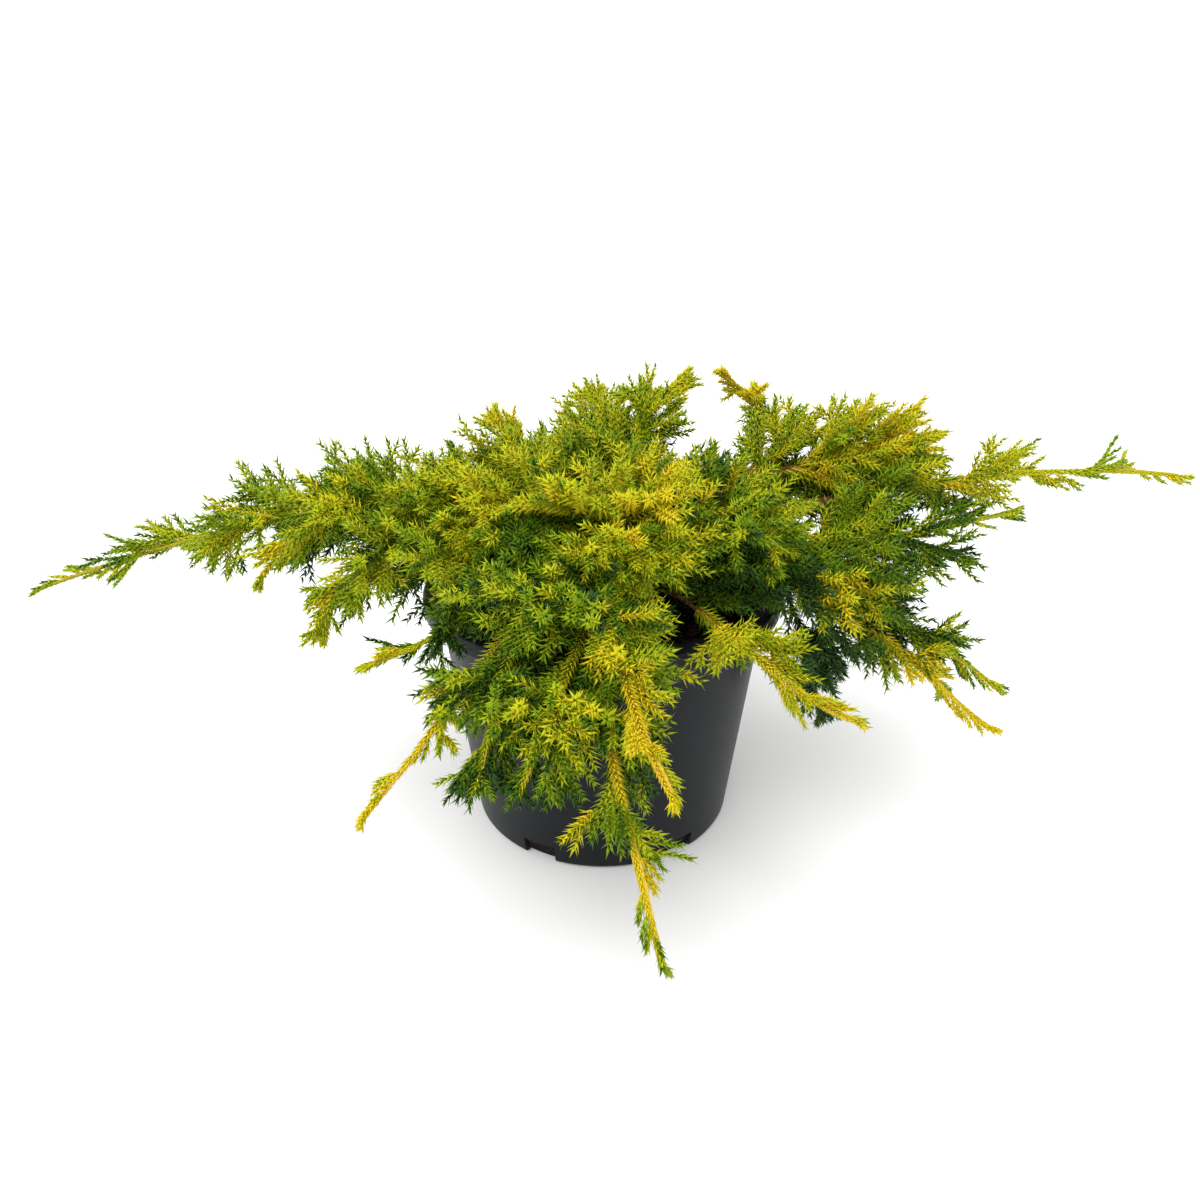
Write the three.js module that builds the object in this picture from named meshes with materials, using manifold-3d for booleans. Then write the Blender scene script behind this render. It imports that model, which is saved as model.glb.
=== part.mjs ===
// A low, spreading juniper with golden frosted foliage, standing in its squat nursery pot.
// Millimetres, +Z up. The origin is the middle of the pot's flat underside, the front looks to -Y
// and +X is to the right. Angles in plan run counter-clockwise from +X: 90 is the back, 180 the left.
import * as THREE from 'three';
import { mergeVertices } from 'three/addons/utils/BufferGeometryUtils.js';
import Module from 'manifold-3d';

const wasm = await Module();
wasm.setup();

const GAP = 0.3;                 // clear space between pieces that touch

// Pot
const POT_HEIGHT = 140;
const RIM_RADIUS = 100;
const RIM_BAND = 10;             // height of the band round the rim
const RIM_INNER = 88.5;
const BODY_TOP_RADIUS = 91.2;    // of the wall, just under the rim band
const BODY_FOOT_RADIUS = 76.4;
const HEEL = 3;                  // rounding between wall and underside
const WALL = 2.2;
const FLOOR = 3;
const POT_SIDES = 32;
const SLOTS = 6;                 // drainage slots that break through the heel
const SLOT_WIDTH = 19;
const SLOT_HEIGHT = 11;
const SLOT_DEPTH = 9;
const FIRST_SLOT = 303;          // direction of the slot at the right of the front, in degrees

// Soil
const SOIL_LEVEL = 124;

// Stem
const STEM_TOP = 172;
const STEM_RADIUS = 9;
const STEM_TAPER = 3;            // how much thinner it is at its top
const FLARE = 5;                 // how far the root flare spreads at the soil
const FLARE_HEIGHT = 9;
const FLARE_LOBES = 5;
const LOBE_DEPTH = 0.16;
const STEM_SIDES = 10;
const STEM_STEPS = 5;
const STEM_CROWDING = 1.5;       // its rings stand closer together towards the soil
const STEM_END = 0.6;            // radius of its blunt top, as a share of the radius below it
const STEM_BEVEL = 2;
const COLLAR = 4;                // how far each bough's collar stands out of the stem
const COLLAR_ROOT = 6;           // how deep it is sunk in

// Limbs
const SHOULDER_SHARE = 0.33;     // where a bough's shoulder and elbow stand, as shares of its reach
const ELBOW_SHARE = 0.72;
const ELBOW_SWEEP = 0.35;        // share of the sweep that is still to come at the elbow
const SHOULDER_OUT = 26;         // least distance of a shoulder from the middle of the stem
const LIMB_SIDES = 5;
const LIMB_STEPS = 5;
const LIMB_MIN_RADIUS = 2.0;
const LIMB_GROWTH = 0.006;       // extra radius for each millimetre of reach
const LIMB_TAPER = 0.7;          // radius where the foliage starts, as a share of that at the stem
const TWIG_TIP = 1.1;
const LINE_PIECES = 28;          // straight pieces that distances to a limb are measured to

// Sprays of needles
const GOLDEN_ANGLE = 137.508;
const LEAN_BASE = 56;            // angle between a spray and its twig, at the twig's foot
const LEAN_TIP = 30;
const TUFT = 7;                  // shortest spray, at the tip of a twig
const FLATNESS = 0.85;           // side sprays spread a little less up and down than sideways
const FOOT_LENGTH = 0.65;        // the first sprays of a mass keep this share of their length
const FOOT_SHARE = 0.15;         // share of the mass that they stand on
const LENGTH_SPREAD = 0.3;       // how much the lengths of sprays differ
const SIDE_LENGTH = 0.25;        // how much longer sprays to the sides are than those above and below
const NEEDLE_OUT = 3.5;          // how far needles stand out of the shortest spray
const NEEDLE_GROWTH = 0.19;      // and how much further for each millimetre of a spray's length
const NEEDLE_THINNING = 0.45;    // how much less they stand out at a spray's tip
const CORE = 0.45;               // radius of a spray's own twig, as a share of its parent's
const CORE_TAPER = 0.6;
const CORE_LEAST = 0.3;
const WHORL_LENGTH = 24;
const WHORLS_LEAST = 2;
const WHORLS_MOST = 3;
const NEEDLE_FORWARD = 0.12;     // how far needles reach past the next whorl, in whorls
const LAST_NEEDLES = 0.94;       // share of the spray's length that the last needles reach
const TIP_SPRAY = 26;            // length of the spray that ends a mass
const SHARES = [1, 0.85, 0.7, 0.55, 0.4];     // of its length, the most that is free is kept
const ROOM = 1.2;                // clear of other masses and limbs
const TWIG_ROOM = 3.7;           // clear of the twig inside another mass
const POT_ROOM = 4;              // clear of the pot

// Dense foliage close round a mass's twig
const DENSE = 0.26;              // its radius, as a share of the mass's width
const DENSE_FLATNESS = 0.75;
const DENSE_LUMPS = 0.5;         // how much thinner or thicker than that it is from place to place
const DENSE_START = 0.12;        // share of the mass in which it grows to its full thickness
const DENSE_ENDS = { green: 0.95, golden: 0.7 };    // share of the mass where it ends
const DENSE_ROUNDING = 0.6;
const DENSE_SIDES = 4;
const DENSE_STEPS = 5;
const DENSE_SHORT = 4;           // how far it stops short of the tip of the mass
const DENSE_SHARES = [1, 0.85, 0.7, 0.55, 0.4, 0.25];

const COLOURS = {
  pot: 0x2f3234, soil: 0x2b2119, bark: 0x6b4a2c,
  golden: 0xb9a51e, green: 0x64801f,
};

// Each bough leaves the stem at its fork, rises to its shoulder, passes its elbow and ends at its
// tip: those are heights. Aim is the direction of its tip and sweep how far it turns on the way.
// Its outer part carries the foliage: bare is the share of its length without any, width the
// length of the longest sprays and fade how fast they shorten towards the tip. Swing, where it is
// given, is how far out the elbow stands, as a share of the reach.
const BOUGHS = [
  { name: 'left_leader', aim: 184.5, sweep: 0, reach: 305, fork: 164, shoulder: 209, elbow: 173,
    tip: 144, bare: 0.24, width: 52, fade: 1.3, sprays: 10 },
  { name: 'left_second', aim: 201, sweep: 10, reach: 178, fork: 137, shoulder: 178, elbow: 232,
    tip: 164, bare: 0.34, width: 38, fade: 1.0, sprays: 7 },
  { name: 'left_droop', aim: 210, sweep: 2, reach: 156, fork: 148, shoulder: 162, elbow: 222,
    tip: 143, bare: 0.34, width: 50, fade: 1.0, sprays: 7 },
  { name: 'upper_left', aim: 165, sweep: 0, reach: 101, fork: 143, shoulder: 154, elbow: 175,
    tip: 185, bare: 0.28, width: 30, fade: 0.8, sprays: 7 },
  { name: 'left_plume', aim: 138.5, sweep: 4, reach: 85, fork: 167, shoulder: 176, elbow: 192,
    tip: 225, bare: 0.3, width: 20, fade: 0.8, sprays: 7 },
  { name: 'small_plume', aim: 121, sweep: 4, reach: 52, fork: 160, shoulder: 190, elbow: 208,
    tip: 203, bare: 0.34, width: 20, fade: 0.7, sprays: 6 },
  { name: 'centre_plume', aim: 50, sweep: -25, reach: 78, fork: 137, shoulder: 213, elbow: 238,
    tip: 243, bare: 0.26, width: 36, fade: 0.9, sprays: 7 },
  { name: 'right_plume', aim: 57.5, sweep: 30, reach: 140, fork: 140, shoulder: 198, elbow: 150,
    tip: 238, swing: 2.12, bare: 0.64, width: 17, fade: 1.0, sprays: 7 },
  { name: 'right_crest', aim: 9, sweep: -8, reach: 188, fork: 164, shoulder: 188, elbow: 209,
    tip: 213, bare: 0.42, width: 50, fade: 0.6, sprays: 9 },
  { name: 'right_leader', aim: 1, sweep: -7, reach: 317, fork: 155, shoulder: 181, elbow: 209,
    tip: 198, bare: 0.26, width: 46, fade: 1.4, sprays: 10 },
  { name: 'right_second', aim: 355, sweep: 0, reach: 217, fork: 146, shoulder: 160, elbow: 164,
    tip: 187, bare: 0.28, width: 64, fade: 1.1, sprays: 7 },
  { name: 'right_low', aim: 341, sweep: -3, reach: 213, fork: 170, shoulder: 221, elbow: 120,
    tip: 84, bare: 0.34, width: 44, fade: 1.6, sprays: 7 },
  { name: 'right_low_back', aim: 347, sweep: 6, reach: 218, fork: 137, shoulder: 170, elbow: 148,
    tip: 95, bare: 0.42, width: 50, fade: 1.6, sprays: 7 },
  { name: 'right_fill', aim: 346, sweep: 25, reach: 127, fork: 149, shoulder: 150, elbow: 240,
    tip: 66, bare: 0.38, width: 50, fade: 1, sprays: 7 },
  { name: 'front_right', aim: 305, sweep: -1, reach: 180, fork: 137, shoulder: 176, elbow: 126,
    tip: 138, bare: 0.2, width: 44, fade: 1.7, sprays: 7 },
  { name: 'front_bright', aim: 276.8, sweep: 12.2, reach: 203, fork: 151, shoulder: 201, elbow: 146,
    tip: 141, bare: 0.4, width: 12, fade: 1.2, sprays: 7 },
  { name: 'front_leader', aim: 276, sweep: 18, reach: 210, fork: 137, shoulder: 168, elbow: 140,
    tip: 72, bare: 0.34, width: 50, fade: 2, sprays: 8 },
  { name: 'front_middle', aim: 258, sweep: -24, reach: 160, fork: 143, shoulder: 191, elbow: 162,
    tip: 112, bare: 0.26, width: 52, fade: 0.6, sprays: 7 },
  { name: 'front_low_left', aim: 252, sweep: 9, reach: 164, fork: 170, shoulder: 188, elbow: 158,
    tip: 112, bare: 0.28, width: 46, fade: 0.6, sprays: 7 },
  { name: 'front_left', aim: 240, sweep: -9, reach: 192, fork: 158, shoulder: 178, elbow: 132,
    tip: 104, bare: 0.28, width: 44, fade: 1.9, sprays: 7 },
  { name: 'left_small', aim: 225, sweep: -2, reach: 151, fork: 137, shoulder: 170, elbow: 136,
    tip: 142, bare: 0.26, width: 30, fade: 1.6, sprays: 7 },
  { name: 'crown_front', aim: 275, sweep: 0, reach: 92, fork: 167, shoulder: 196, elbow: 196,
    tip: 174, bare: 0.2, width: 54, fade: 0.6, sprays: 9 },
  { name: 'crown_left', aim: 222, sweep: 2, reach: 96, fork: 156, shoulder: 196, elbow: 204,
    tip: 186, bare: 0.2, width: 48, fade: 0.6, sprays: 9 },
  { name: 'crown_right', aim: 328, sweep: 0, reach: 108, fork: 158, shoulder: 188, elbow: 190,
    tip: 178, bare: 0.2, width: 48, fade: 0.6, sprays: 9 },
  { name: 'crown_back', aim: 91, sweep: 2, reach: 104, fork: 164, shoulder: 172, elbow: 194,
    tip: 229, bare: 0.2, width: 44, fade: 0.8, sprays: 9 },
  { name: 'back_left', aim: 142, sweep: 2, reach: 220, fork: 151, shoulder: 184, elbow: 160,
    tip: 124, bare: 0.3, width: 52, fade: 1.0, sprays: 8 },
  { name: 'back_middle', aim: 104, sweep: 2, reach: 206, fork: 144, shoulder: 182, elbow: 156,
    tip: 112, bare: 0.3, width: 54, fade: 1.0, sprays: 8 },
  { name: 'back_right', aim: 64, sweep: 14, reach: 222, fork: 152, shoulder: 158, elbow: 150,
    tip: 120, bare: 0.3, width: 52, fade: 1.0, sprays: 8 },
];

const { degToRad: rad, lerp, clamp } = THREE.MathUtils;
const UP = new THREE.Vector3(0, 0, 1);
const SIXTH = Math.PI / 3;

// A number from 0 to 1 that depends only on the bough and on the place along it
function chance(seed, place) {
  const wave = Math.sin(seed * 12.9898 + place * 78.233) * 43758.5453;
  return wave - Math.floor(wave);
}

// Solids

function toSolid(geometry) {
  geometry.deleteAttribute('normal');
  geometry.deleteAttribute('uv');
  const merged = mergeVertices(geometry, 1e-4);
  const index = [];
  for (let i = 0; i < merged.index.count; i += 3) {
    const [a, b, c] = [0, 1, 2].map((k) => merged.index.getX(i + k));
    if (a !== b && b !== c && c !== a) index.push(a, b, c);
  }
  const mesh = new wasm.Mesh({
    numProp: 3,
    vertProperties: new Float32Array(merged.attributes.position.array),
    triVerts: new Uint32Array(index),
  });
  return new wasm.Manifold(mesh);
}

function toMesh(name, solid, colour, roughness) {
  const { vertProperties, triVerts } = solid.getMesh();
  const geometry = new THREE.BufferGeometry();
  geometry.setAttribute('position', new THREE.BufferAttribute(vertProperties, 3));
  geometry.setIndex(new THREE.BufferAttribute(triVerts, 1));
  geometry.computeVertexNormals();
  const material = new THREE.MeshStandardMaterial({ color: colour, roughness, metalness: 0 });
  const mesh = new THREE.Mesh(geometry, material);
  mesh.name = name;
  return mesh;
}

const join = (solids) => solids.reduce((whole, solid) => whole.add(solid));

// A profile turned about the Z axis
function turned(profile, sides) {
  const points = profile.map(([radius, height]) => new THREE.Vector2(radius, height));
  const geometry = new THREE.LatheGeometry(points, sides);
  geometry.rotateX(Math.PI / 2);
  return geometry;
}

// A rod whose rings are placed one by one: ring(t) gives the centre, the direction along the rod,
// the radius and the turn of the ring at t, from 0 at its foot to 1 at its tip
function ringed(sides, steps, ring) {
  const geometry = new THREE.CylinderGeometry(1, 1, 1, sides, steps);
  const position = geometry.attributes.position;
  for (let i = 0; i < position.count; i += 1) {
    const { centre, along, radius, turn = 0, flatness = 1 } = ring(position.getY(i) + 0.5);
    const side = new THREE.Vector3().crossVectors(along, UP).normalize();
    const lift = new THREE.Vector3().crossVectors(side, along);
    const [x, z] = [position.getX(i), position.getZ(i)];
    const place = centre.clone()
      .addScaledVector(side, radius * (x * Math.cos(turn) + z * Math.sin(turn)))
      .addScaledVector(lift, flatness * radius * (z * Math.cos(turn) - x * Math.sin(turn)));
    position.setXYZ(i, place.x, place.y, place.z);
  }
  return toSolid(geometry);
}

// Pot: a shell with a heavy rim band and a slotted heel

const wallRadius = (z) => lerp(BODY_FOOT_RADIUS, BODY_TOP_RADIUS, z / (POT_HEIGHT - RIM_BAND));

function pot() {
  const band = POT_HEIGHT - RIM_BAND;
  const heel = [0, 30, 60, 90].map((turn) => [
    wallRadius(HEEL) - HEEL + HEEL * Math.sin(rad(turn)),
    HEEL - HEEL * Math.cos(rad(turn)),
  ]);
  const profile = [
    [0, 0],
    ...heel,
    [BODY_TOP_RADIUS, band],
    [RIM_RADIUS - 1.5, band],
    [RIM_RADIUS, band + 1.5],
    [RIM_RADIUS, POT_HEIGHT - 1.5],
    [RIM_RADIUS - 1.5, POT_HEIGHT],
    [RIM_INNER, POT_HEIGHT],
    [wallRadius(band) - WALL, band - 4],
    [wallRadius(FLOOR) - WALL, FLOOR],
    [0, FLOOR],
  ];
  const slots = Array.from({ length: SLOTS }, (_, k) => {
    const slot = new THREE.BoxGeometry(SLOT_DEPTH, SLOT_WIDTH, 2 * SLOT_HEIGHT);
    slot.translate(BODY_FOOT_RADIUS, 0, 0);
    slot.rotateZ(rad(FIRST_SLOT + k * 360 / SLOTS));
    return toSolid(slot);
  });
  const shell = toSolid(turned(profile, POT_SIDES));
  return toMesh('pot', shell.subtract(join(slots)), COLOURS.pot, 0.5);
}

function soil() {
  const foot = FLOOR + GAP;
  const profile = [
    [0, foot],
    [wallRadius(foot) - WALL - GAP, foot],
    [wallRadius(SOIL_LEVEL) - WALL - GAP, SOIL_LEVEL],
    [0, SOIL_LEVEL],
  ];
  return toMesh('soil', toSolid(turned(profile, POT_SIDES)), COLOURS.soil, 0.95);
}

// Stem and boughs

const stemRadius = (z) => STEM_RADIUS
  - STEM_TAPER * (z - SOIL_LEVEL) / (STEM_TOP - SOIL_LEVEL)
  + FLARE * Math.exp(-(z - SOIL_LEVEL) / FLARE_HEIGHT);

// From the stem outwards, at a distance and a height
const spot = (direction, distance, height) => new THREE.Vector3(
  distance * Math.cos(rad(direction)), distance * Math.sin(rad(direction)), height);

// The line of a bough, with everything that is worked out from it
function limbOf(sizes, seed) {
  const { aim, sweep, reach, fork, shoulder, elbow, tip, swing = ELBOW_SHARE } = sizes;
  const start = aim - sweep;
  const curve = new THREE.CubicBezierCurve3(
    spot(start, stemRadius(fork) + COLLAR, fork),
    spot(start, Math.max(SHOULDER_SHARE * reach, SHOULDER_OUT), shoulder),
    spot(aim - ELBOW_SWEEP * sweep, swing * reach, elbow),
    spot(aim, reach, tip));
  const length = curve.getLength();
  const thick = LIMB_MIN_RADIUS + LIMB_GROWTH * reach;
  const entry = sizes.bare + GAP / length;
  const radius = (u) => (u < sizes.bare
    ? lerp(thick, thick * LIMB_TAPER, u / sizes.bare)
    : lerp(thick * LIMB_TAPER, TWIG_TIP, (u - sizes.bare) / (1 - sizes.bare)));
  const line = Array.from({ length: LINE_PIECES + 1 }, (_, k) => curve.getPointAt(k / LINE_PIECES));
  return { ...sizes, seed, curve, length, thick, entry, radius, line };
}

function bough(limb) {
  const solid = ringed(LIMB_SIDES, LIMB_STEPS, (t) => {
    const u = t * limb.bare;
    const [centre, along] = [limb.curve.getPointAt(u), limb.curve.getTangentAt(u)];
    return { centre, along, radius: limb.radius(u) };
  });
  return toMesh(limb.name, solid, COLOURS.bark, 0.85);
}

function stem(limbs) {
  const trunk = turned([
    [0, SOIL_LEVEL + GAP],
    ...Array.from({ length: STEM_STEPS + 1 }, (_, k) => {
      const share = (k / STEM_STEPS) ** STEM_CROWDING;
      const z = lerp(SOIL_LEVEL + GAP, STEM_TOP - STEM_BEVEL, share);
      return [stemRadius(z), z];
    }),
    [stemRadius(STEM_TOP) * STEM_END, STEM_TOP],
    [0, STEM_TOP],
  ], STEM_SIDES);
  const place = trunk.attributes.position;
  for (let i = 0; i < place.count; i += 1) {
    const [x, y, z] = [place.getX(i), place.getY(i), place.getZ(i)];
    const flare = Math.exp(-(z - SOIL_LEVEL) / FLARE_HEIGHT);
    const lobe = 1 + LOBE_DEPTH * flare * Math.cos(FLARE_LOBES * Math.atan2(y, x));
    place.setXY(i, x * lobe, y * lobe);
  }
  const collars = limbs.map((limb) => {
    const along = limb.curve.getTangentAt(0);
    const depth = COLLAR + COLLAR_ROOT;
    return ringed(LIMB_SIDES, 1, (t) => ({
      centre: limb.line[0].clone().addScaledVector(along, lerp(-depth, -GAP, t)),
      along, radius: limb.thick,
    }));
  });
  return toMesh('stem', join([toSolid(trunk), ...collars]), COLOURS.bark, 0.85);
}

// Foliage

// Boughs that run out to a thin, open tip are the golden ones
const shadeOf = (limb) => (limb.fade > 1 ? 'golden' : 'green');

// Distance from a point to a limb's line, between two shares of its length
function distance(point, limb, from, to) {
  const span = new THREE.Line3();
  const closest = new THREE.Vector3();
  let nearest = Infinity;
  const last = Math.round(to * LINE_PIECES);
  for (let k = Math.round(from * LINE_PIECES); k < last; k += 1) {
    span.set(limb.line[k], limb.line[k + 1]);
    span.closestPointToPoint(point, true, closest);
    nearest = Math.min(nearest, closest.distanceTo(point));
  }
  return nearest;
}

// Whether this point is in the mass's own space, clear of limbs and of the pot
function isFree(point, own, limbs) {
  const out = Math.hypot(point.x, point.y);
  const potRadius = point.z > POT_HEIGHT - RIM_BAND - POT_ROOM ? RIM_RADIUS : wallRadius(point.z);
  if (point.z < POT_HEIGHT + POT_ROOM && out < potRadius + POT_ROOM) return false;
  if (point.z < SOIL_LEVEL + 2 * ROOM || out < 2 * STEM_RADIUS) return out > RIM_RADIUS;
  const share = distance(point, own, own.bare, 1) / own.width;
  return limbs.every((other) => {
    if (other === own) return true;
    if (distance(point, other, 0, other.bare) < other.thick + ROOM) return false;
    const away = distance(point, other, other.bare, 1);
    return away > TWIG_ROOM && (away - ROOM) / other.width > share;
  });
}

// A spray is a slim twig with whorls of three needles, each turned half a step from the last.
// It is laid out ring by ring, from its root to its tip.
function ringsOf(root, end, parentRadius) {
  const length = root.distanceTo(end);
  const along = end.clone().sub(root).normalize();
  const whorls = clamp(Math.round(length / WHORL_LENGTH), WHORLS_LEAST, WHORLS_MOST);
  const needles = NEEDLE_OUT + NEEDLE_GROWTH * length;
  return Array.from({ length: 2 * whorls + 1 }, (_, ring) => {
    const whorl = Math.floor(ring / 2);
    const t = ring / (2 * whorls);
    const isNeedles = ring % 2 === 1;
    const reach = isNeedles
      ? Math.min(LAST_NEEDLES, (whorl + 1 + NEEDLE_FORWARD) / whorls)
      : whorl / whorls;
    const radius = isNeedles
      ? needles * (1 - NEEDLE_THINNING * t)
      : Math.max(CORE_LEAST, CORE * parentRadius * (1 - CORE_TAPER * t));
    const centre = root.clone().addScaledVector(along, length * reach);
    return { centre, along, radius, turn: -whorl * SIXTH };
  });
}

function spray(root, end, parentRadius) {
  const rings = ringsOf(root, end, parentRadius);
  const steps = rings.length - 1;
  return ringed(3, steps, (t) => rings[Math.round(t * steps)]);
}

// Points out to the needles' tips, all round each whorl, that have to stay free
function feelers(root, end) {
  const points = [end];
  for (const { centre, along, radius } of ringsOf(root, end, 1).filter((_, k) => k % 2 === 1)) {
    const side = new THREE.Vector3().crossVectors(along, UP).normalize();
    const lift = new THREE.Vector3().crossVectors(side, along);
    for (const share of [0, 0.5, 1]) {
      for (let k = 0; k < (share > 0 ? 6 : 1); k += 1) {
        points.push(centre.clone()
          .addScaledVector(side, share * radius * Math.sin(k * SIXTH))
          .addScaledVector(lift, share * radius * Math.cos(k * SIXTH)));
      }
    }
  }
  return points;
}

// Where a spray ends when it keeps as much of its length as stays free, or null to skip it
function freeEnd(root, end, own, limbs) {
  for (const share of SHARES) {
    const shorter = root.clone().lerp(end, share);
    if (feelers(root, shorter).every((point) => isFree(point, own, limbs))) return shorter;
  }
  return null;
}

// Side sprays stand round the twig on a spiral, lean forward and grow shorter towards its tip
function sideSprays(limb, limbs) {
  const found = [];
  for (let k = 0; k < limb.sprays; k += 1) {
    const s = (k + 0.5) / limb.sprays;
    const u = lerp(limb.bare, 1, s);
    const root = limb.curve.getPointAt(u);
    const along = limb.curve.getTangentAt(u);
    const side = new THREE.Vector3().crossVectors(along, UP).normalize();
    const lift = new THREE.Vector3().crossVectors(side, along);
    const roll = rad(GOLDEN_ANGLE) * k + limb.seed;
    const lean = rad(lerp(LEAN_BASE, LEAN_TIP, s));
    const outward = side.multiplyScalar(Math.cos(roll))
      .addScaledVector(lift, Math.sin(roll) * FLATNESS);
    const heading = along.multiplyScalar(Math.cos(lean))
      .addScaledVector(outward, Math.sin(lean)).normalize();
    const start = lerp(FOOT_LENGTH, 1, Math.min(1, s / FOOT_SHARE));
    const length = (TUFT + limb.width * start * (1 - s) ** limb.fade)
      * (1 + LENGTH_SPREAD * (chance(limb.seed + 1, k + 0.5) - 0.5))
      * (1 - SIDE_LENGTH * (1 - Math.abs(Math.cos(roll))));
    const end = freeEnd(root, root.clone().addScaledVector(heading, length), limb, limbs);
    if (end) found.push(spray(root, end, limb.radius(u)));
  }
  return found;
}

// How thick a core can be here, up to what is wanted
function freeRadius(centre, along, wanted, own, limbs) {
  const side = new THREE.Vector3().crossVectors(along, UP).normalize();
  const lift = new THREE.Vector3().crossVectors(side, along);
  const directions = Array.from({ length: 8 }, (_, k) => k * Math.PI / 4);
  const fits = (radius) => directions.every((turn) => [0.5, 1].every((share) => isFree(
    centre.clone()
      .addScaledVector(side, share * (radius + ROOM) * Math.sin(turn))
      .addScaledVector(lift, share * (radius + ROOM) * Math.cos(turn) * DENSE_FLATNESS),
    own, limbs)));
  return DENSE_SHARES.map((share) => share * wanted).find(fits) ?? 0;
}

// The mass's own twig, swollen to a lumpy core where the foliage round it is too dense to see into
function core(limb, limbs) {
  const endsAt = DENSE_ENDS[shadeOf(limb)];
  return ringed(DENSE_SIDES, DENSE_STEPS, (t) => {
    const u = lerp(limb.entry, 1 - DENSE_SHORT / limb.length, t);
    const s = (u - limb.bare) / (1 - limb.bare);
    const centre = limb.curve.getPointAt(u);
    const along = limb.curve.getTangentAt(u);
    const bulge = Math.min(1, s / DENSE_START) * Math.max(0, 1 - s / endsAt) ** DENSE_ROUNDING;
    const lump = 1 + DENSE_LUMPS * (2 * chance(limb.seed + 3, Math.round(t * DENSE_STEPS)) - 1);
    const wanted = DENSE * limb.width * bulge * lump;
    const radius = Math.max(limb.radius(u), freeRadius(centre, along, wanted, limb, limbs));
    return { centre, along, radius, flatness: radius > 2 * limb.radius(u) ? DENSE_FLATNESS : 1 };
  });
}

function mass(limb, limbs) {
  const twig = core(limb, limbs);
  const leader = spray(
    limb.curve.getPointAt(1 - TIP_SPRAY / limb.length), limb.curve.getPointAt(1), TWIG_TIP);
  const solid = join([twig, leader, ...sideSprays(limb, limbs)]);
  return toMesh(`${limb.name}_foliage`, solid, COLOURS[shadeOf(limb)], 0.7);
}

const limbs = BOUGHS.map(limbOf);
const plant = new THREE.Group();
plant.add(pot(), soil(), stem(limbs));
for (const limb of limbs) plant.add(bough(limb), mass(limb, limbs));

export default plant;
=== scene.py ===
import math

import bmesh
import bpy
import numpy as np
from mathutils import Matrix, Vector, noise


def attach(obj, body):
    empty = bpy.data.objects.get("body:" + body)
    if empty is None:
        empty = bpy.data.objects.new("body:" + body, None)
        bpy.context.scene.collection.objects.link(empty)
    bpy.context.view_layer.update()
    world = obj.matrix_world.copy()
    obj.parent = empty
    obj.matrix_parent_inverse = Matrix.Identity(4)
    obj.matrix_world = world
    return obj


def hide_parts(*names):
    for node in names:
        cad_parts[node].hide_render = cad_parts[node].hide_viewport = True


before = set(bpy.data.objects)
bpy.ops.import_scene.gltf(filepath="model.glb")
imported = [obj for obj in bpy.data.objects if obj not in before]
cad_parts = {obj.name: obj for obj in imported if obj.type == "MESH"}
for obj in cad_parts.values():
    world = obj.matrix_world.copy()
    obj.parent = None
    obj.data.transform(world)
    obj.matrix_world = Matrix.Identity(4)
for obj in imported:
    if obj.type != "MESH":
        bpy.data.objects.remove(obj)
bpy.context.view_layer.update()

MM = 0.001


# Camera
# A wide lens looks down on the plant from a little over half a metre away, so the boughs that
# come forward look long and the pot narrows quickly towards its foot.
CAMERA_BACK = 0.429
CAMERA_HEIGHT = 0.314
CAMERA_PITCH = 23.5              # degrees below level
CAMERA_NEAREST = 0.01
SENSOR_WIDTH = 36
LENS = 24.51
LENS_SHIFT = -0.002

camera_data = bpy.data.cameras.new("camera")
camera_data.sensor_width = SENSOR_WIDTH
camera_data.lens = LENS
camera_data.shift_x = LENS_SHIFT
camera_data.clip_start = CAMERA_NEAREST
camera = bpy.data.objects.new("camera", camera_data)
camera.location = (0, -CAMERA_BACK, CAMERA_HEIGHT)
camera.rotation_euler = (math.radians(90 - CAMERA_PITCH), 0, 0)
bpy.context.scene.collection.objects.link(camera)
bpy.context.scene.camera = camera


# Studio
# A plain white floor under a bright, even tent of light, with one broad overhead light that
# comes a little from the front left and is so soft that shadows have no edge.
FLOOR_RADIUS = 40
FLOOR_SIDES = 64
FLOOR_DROP = 0.2                 # mm under the foot of the pot, so that they share no plane
FLOOR_WHITE = 0.9
FLOOR_ROUGHNESS = 0.95
TENT = 1.22
SUN_STRENGTH = 1.8
SUN_SOFTNESS = 50                # degrees across
SUN_TILT = 32                    # degrees from overhead
SUN_TURN = -35                   # degrees from the front, towards the left


def new_material(name, colour, roughness, specular):
    material = bpy.data.materials.new(name)
    material.use_nodes = True
    shader = material.node_tree.nodes["Principled BSDF"]
    shader.inputs["Base Color"].default_value = (*colour, 1)
    shader.inputs["Roughness"].default_value = roughness
    shader.inputs["Specular IOR Level"].default_value = specular
    material.diffuse_color = (*colour, 1)
    return material


def new_object(name, mesh, material):
    piece = bpy.data.objects.new(name, mesh)
    bpy.context.scene.collection.objects.link(piece)
    mesh.materials.append(material)
    return piece


def mesh_from(bm, name):
    mesh = bpy.data.meshes.new(name)
    bm.to_mesh(mesh)
    bm.free()
    return mesh


floor_bm = bmesh.new()
bmesh.ops.create_circle(
    floor_bm, cap_ends=True, segments=FLOOR_SIDES, radius=FLOOR_RADIUS,
    matrix=Matrix.Translation((0, 0, -FLOOR_DROP * MM)))
floor_white = new_material("floor", (FLOOR_WHITE,) * 3, FLOOR_ROUGHNESS, 0)
floor = new_object("floor", mesh_from(floor_bm, "floor"), floor_white)

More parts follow.
